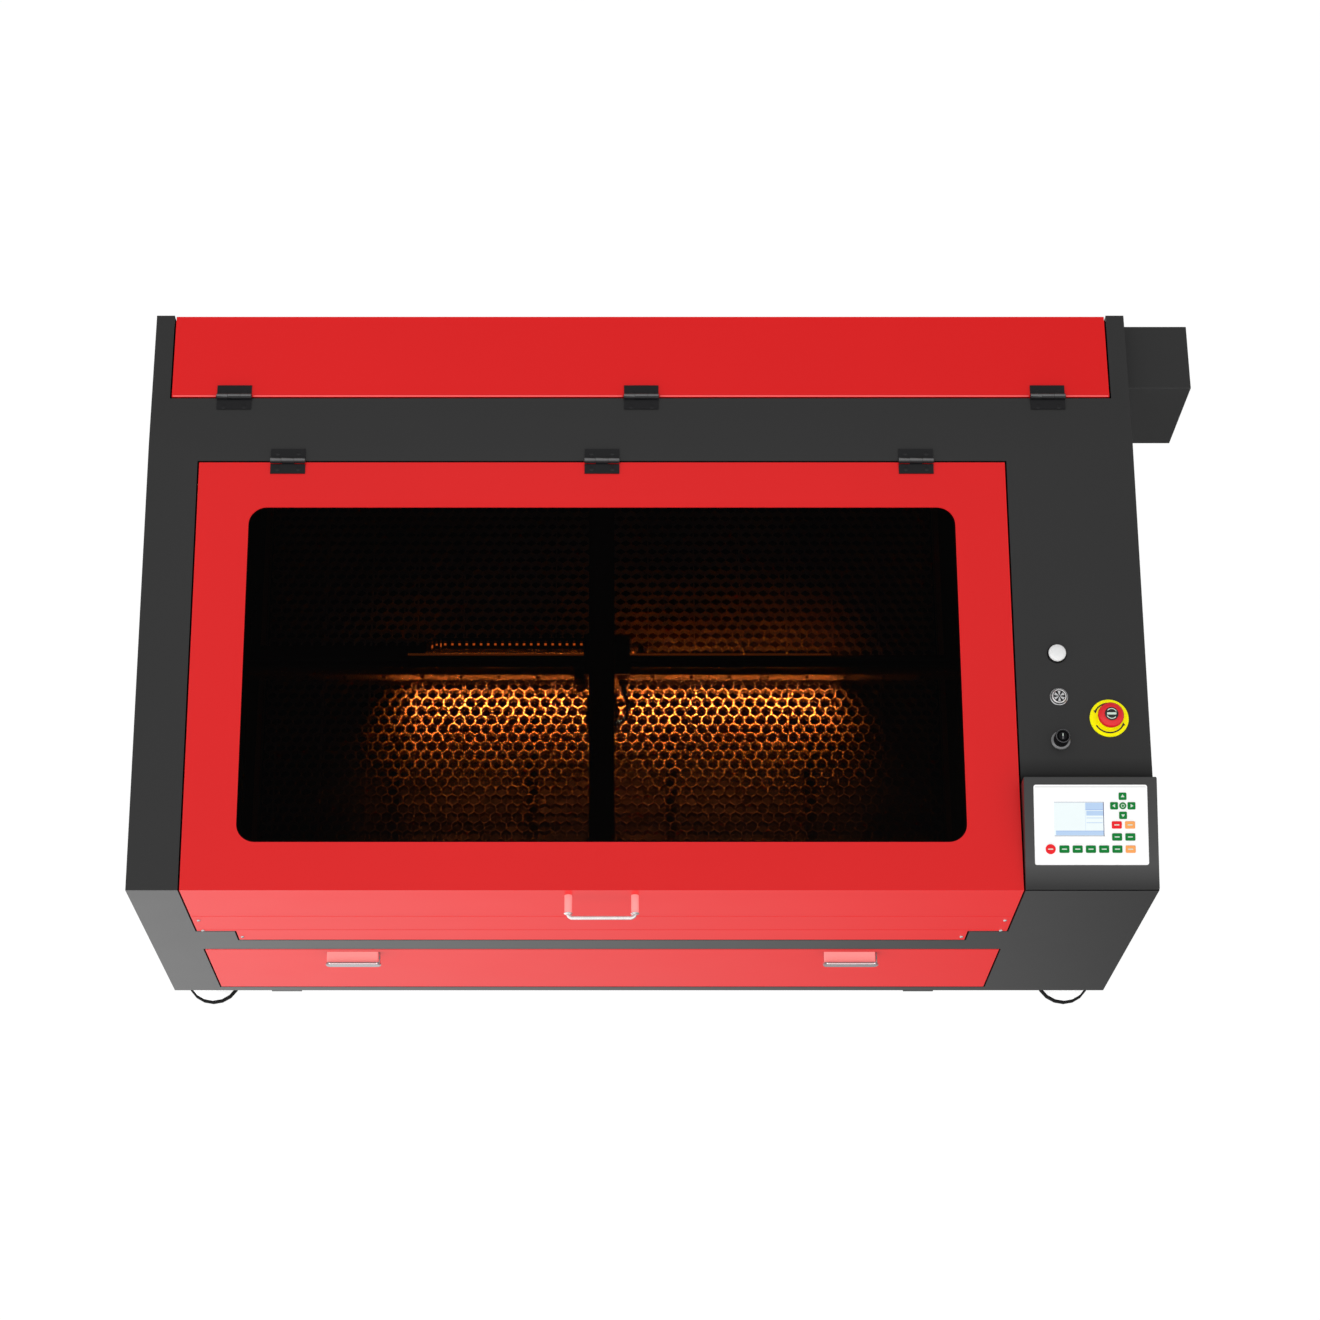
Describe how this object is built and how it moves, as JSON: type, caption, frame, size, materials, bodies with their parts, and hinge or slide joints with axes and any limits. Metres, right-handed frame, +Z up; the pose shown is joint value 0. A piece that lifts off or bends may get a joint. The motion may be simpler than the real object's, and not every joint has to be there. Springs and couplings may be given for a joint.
{
  "type": "laser engraver",
  "caption": "Cabinet laser engraver: glazed sloping lid over a gantry and honeycomb bed, rear tube bay with hinged cover, drop-down front flap, keypad console.",
  "frame": {"origin": "centre of the bounding box's footprint, on the floor", "axes": "+X to the operator's right, +Y to the back, +Z up; the operator stands on the -Y side"},
  "size_m": [1.518, 0.945, 0.6545],
  "materials": {
    "dark_coat": "fine-textured charcoal powder coat",
    "galvanised": "galvanised sheet",
    "red_coat": "semi-gloss red powder coat",
    "white_plastic": "smooth white",
    "chrome_trim": "polished",
    "black_hinge": "satin black",
    "tube_glass": "clear borosilicate",
    "machined_alloy": "satin",
    "black_anodised": "black anodised",
    "bright_steel": "bright turned steel",
    "smoked_window": "smoked amber acrylic",
    "black_plastic": "moulded black",
    "yellow_plastic": "moulded yellow",
    "red_plastic": "moulded red"
  },
  "bodies": {
    "cabinet": {"base_pan": "dark_coat", "front_frame": "dark_coat", "side_panel_left": "dark_coat", "side_panel_right": "dark_coat", "top_deck": "dark_coat", "rear_panel": "dark_coat", "tube_bulkhead": "dark_coat", "chamber_wall_left": "galvanised", "chamber_wall_right": "galvanised", "tube_extension_box": "dark_coat", "console_housing": "dark_coat", "control_panel": "white_plastic", "foot_front_left": "chrome_trim", "foot_rear_left": "chrome_trim", "foot_front_right": "chrome_trim", "foot_rear_right": "chrome_trim", "lid_hinge_left": "black_hinge", "lid_hinge_centre": "black_hinge", "lid_hinge_right": "black_hinge", "cover_hinge_left": "black_hinge", "cover_hinge_centre": "black_hinge", "cover_hinge_right": "black_hinge", "laser_tube": "tube_glass", "tube_mount_left": "machined_alloy", "tube_mount_right": "machined_alloy", "first_mirror": "machined_alloy", "side_rail_left": "machined_alloy", "side_rail_right": "machined_alloy", "cross_drive": "bright_steel", "lift_drive": "bright_steel", "fan_housing": "galvanised", "power_inlet": "black_plastic", "laser_power_supply": "galvanised", "motion_controller": "black_hinge", "estop_base": "yellow_plastic", "key_switch": "black_plastic"},
    "lid": {"lid_frame": "red_coat", "lid_window": "smoked_window", "window_bar": "black_hinge", "lid_handle": "chrome_trim"},
    "rear_cover": {"rear_cover": "red_coat"},
    "flap": {"front_flap": "red_coat", "flap_pull_left": "chrome_trim", "flap_pull_right": "chrome_trim"},
    "gantry": {"gantry_beam": "machined_alloy", "second_mirror": "machined_alloy", "drag_chain": "black_plastic"},
    "head": {"head_carriage": "black_anodised"},
    "lens": {"lens_tube": "machined_alloy"},
    "bed": {"bed_frame": "machined_alloy", "honeycomb_bed": "machined_alloy"},
    "strut_left": {"strut_cylinder_left": "black_hinge"},
    "strut_left_rod": {"strut_rod_left": "bright_steel"},
    "strut_right": {"strut_cylinder_right": "black_hinge"},
    "strut_right_rod": {"strut_rod_right": "bright_steel"},
    "fan": {"fan_impeller": "black_plastic"},
    "estop": {"estop_button": "red_plastic"},
    "light_button": {"light_button": "white_plastic"},
    "laser_button": {"laser_button": "bright_steel"},
    "key": {"key_core": "bright_steel"}
  },
  "joints": [
    {"name": "lid_hinge", "type": "hinge", "parent": "cabinet", "child": "lid", "pos_m": [-0.105, 0.19519, 0.64871], "axis": [-1, 0, 0], "range_deg": [0, 75]},
    {"name": "rear_cover_hinge", "type": "hinge", "parent": "cabinet", "child": "rear_cover", "pos_m": [-0.048, 0.29775, 0.6505], "axis": [1, 0, 0], "range_deg": [0, 85]},
    {"name": "flap_hinge", "type": "hinge", "parent": "cabinet", "child": "flap", "pos_m": [-0.105, -0.4375, 0.11975], "axis": [1, 0, 0], "range_deg": [0, 90]},
    {"name": "gantry_y", "type": "slide", "parent": "cabinet", "child": "gantry", "axis": [0, 1, 0], "range_m": [-0.23, 0.28]},
    {"name": "head_x", "type": "slide", "parent": "gantry", "child": "head", "axis": [1, 0, 0], "range_m": [-0.42, 0.46]},
    {"name": "focus_z", "type": "slide", "parent": "head", "child": "lens", "axis": [0, 0, 1], "range_m": [-0.005, 0.006]},
    {"name": "bed_lift", "type": "slide", "parent": "cabinet", "child": "bed", "axis": [0, 0, 1], "range_m": [-0.2, 0.004]},
    {"name": "fan_spin", "type": "hinge", "parent": "cabinet", "child": "fan", "pos_m": [-0.349, 0.3425, 0.27], "axis": [0, 1, 0], "continuous": true},
    {"name": "estop_press", "type": "slide", "parent": "cabinet", "child": "estop", "axis": [0, 0.0634, -0.998], "range_m": [0, 0.0045]},
    {"name": "light_press", "type": "slide", "parent": "cabinet", "child": "light_button", "axis": [0, 0.0634, -0.998], "range_m": [0, 0.0025], "stiffness_N_per_m": 800},
    {"name": "laser_press", "type": "slide", "parent": "cabinet", "child": "laser_button", "axis": [0, 0.0634, -0.998], "range_m": [0, 0.0025], "stiffness_N_per_m": 800},
    {"name": "key_turn", "type": "hinge", "parent": "cabinet", "child": "key", "pos_m": [0.5355, -0.22343, 0.6176], "axis": [0, 0.0634, -0.998], "range_deg": [0, 90]},
    {"name": "strut_left_swing", "type": "hinge", "parent": "cabinet", "child": "strut_left", "pos_m": [-0.673, 0.1225, 0.59], "axis": [-1, 0, 0], "range_deg": [0, 78.89]},
    {"name": "strut_left_extend", "type": "slide", "parent": "strut_left", "child": "strut_left_rod", "axis": [0, -0.9958, 0.0915], "range_m": [0, 0.1141]},
    {"name": "strut_right_swing", "type": "hinge", "parent": "cabinet", "child": "strut_right", "pos_m": [0.463, 0.1225, 0.59], "axis": [-1, 0, 0], "range_deg": [0, 78.89]},
    {"name": "strut_right_extend", "type": "slide", "parent": "strut_right", "child": "strut_right_rod", "axis": [0, -0.9958, 0.0915], "range_m": [0, 0.1141]}
  ],
  "couplings": [
    {"joint": "strut_left_swing", "follows": "lid_hinge", "ratio": 1.0453},
    {"joint": "strut_left_extend", "follows": "lid_hinge", "m_per_rad": 0.086365},
    {"joint": "strut_right_swing", "follows": "lid_hinge", "ratio": 1.0453},
    {"joint": "strut_right_extend", "follows": "lid_hinge", "m_per_rad": 0.086365}
  ]
}
